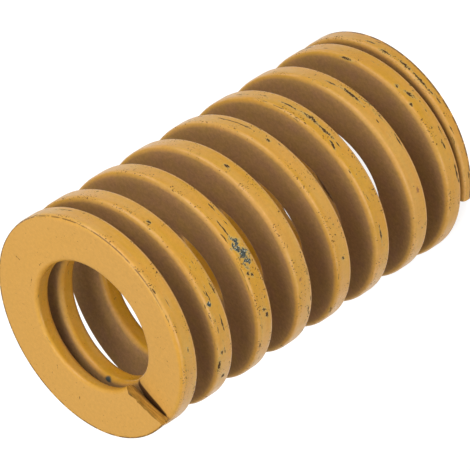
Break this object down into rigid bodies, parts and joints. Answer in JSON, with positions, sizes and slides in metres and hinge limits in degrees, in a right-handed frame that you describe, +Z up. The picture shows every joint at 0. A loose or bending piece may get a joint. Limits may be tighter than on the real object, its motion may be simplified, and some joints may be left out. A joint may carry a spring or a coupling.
{
  "type": "die spring",
  "caption": "Heavy compression spring coiled from flat rectangular wire, with closed ends ground flat, for use over a guide rod.",
  "frame": {"origin": "centre of the lower ground end, on the spring's axis", "axes": "+Z runs up the spring's axis to the other ground end; the wire of the lower end starts on +X and climbs anticlockwise seen from above"},
  "size_m": [0.0396, 0.0396, 0.07],
  "materials": {
    "painted_wire": "yellow-ochre spring paint, satin, chipped and scuffed along the coil edges"
  },
  "bodies": {
    "root": {"spring": "painted_wire"}
  },
  "joints": []
}
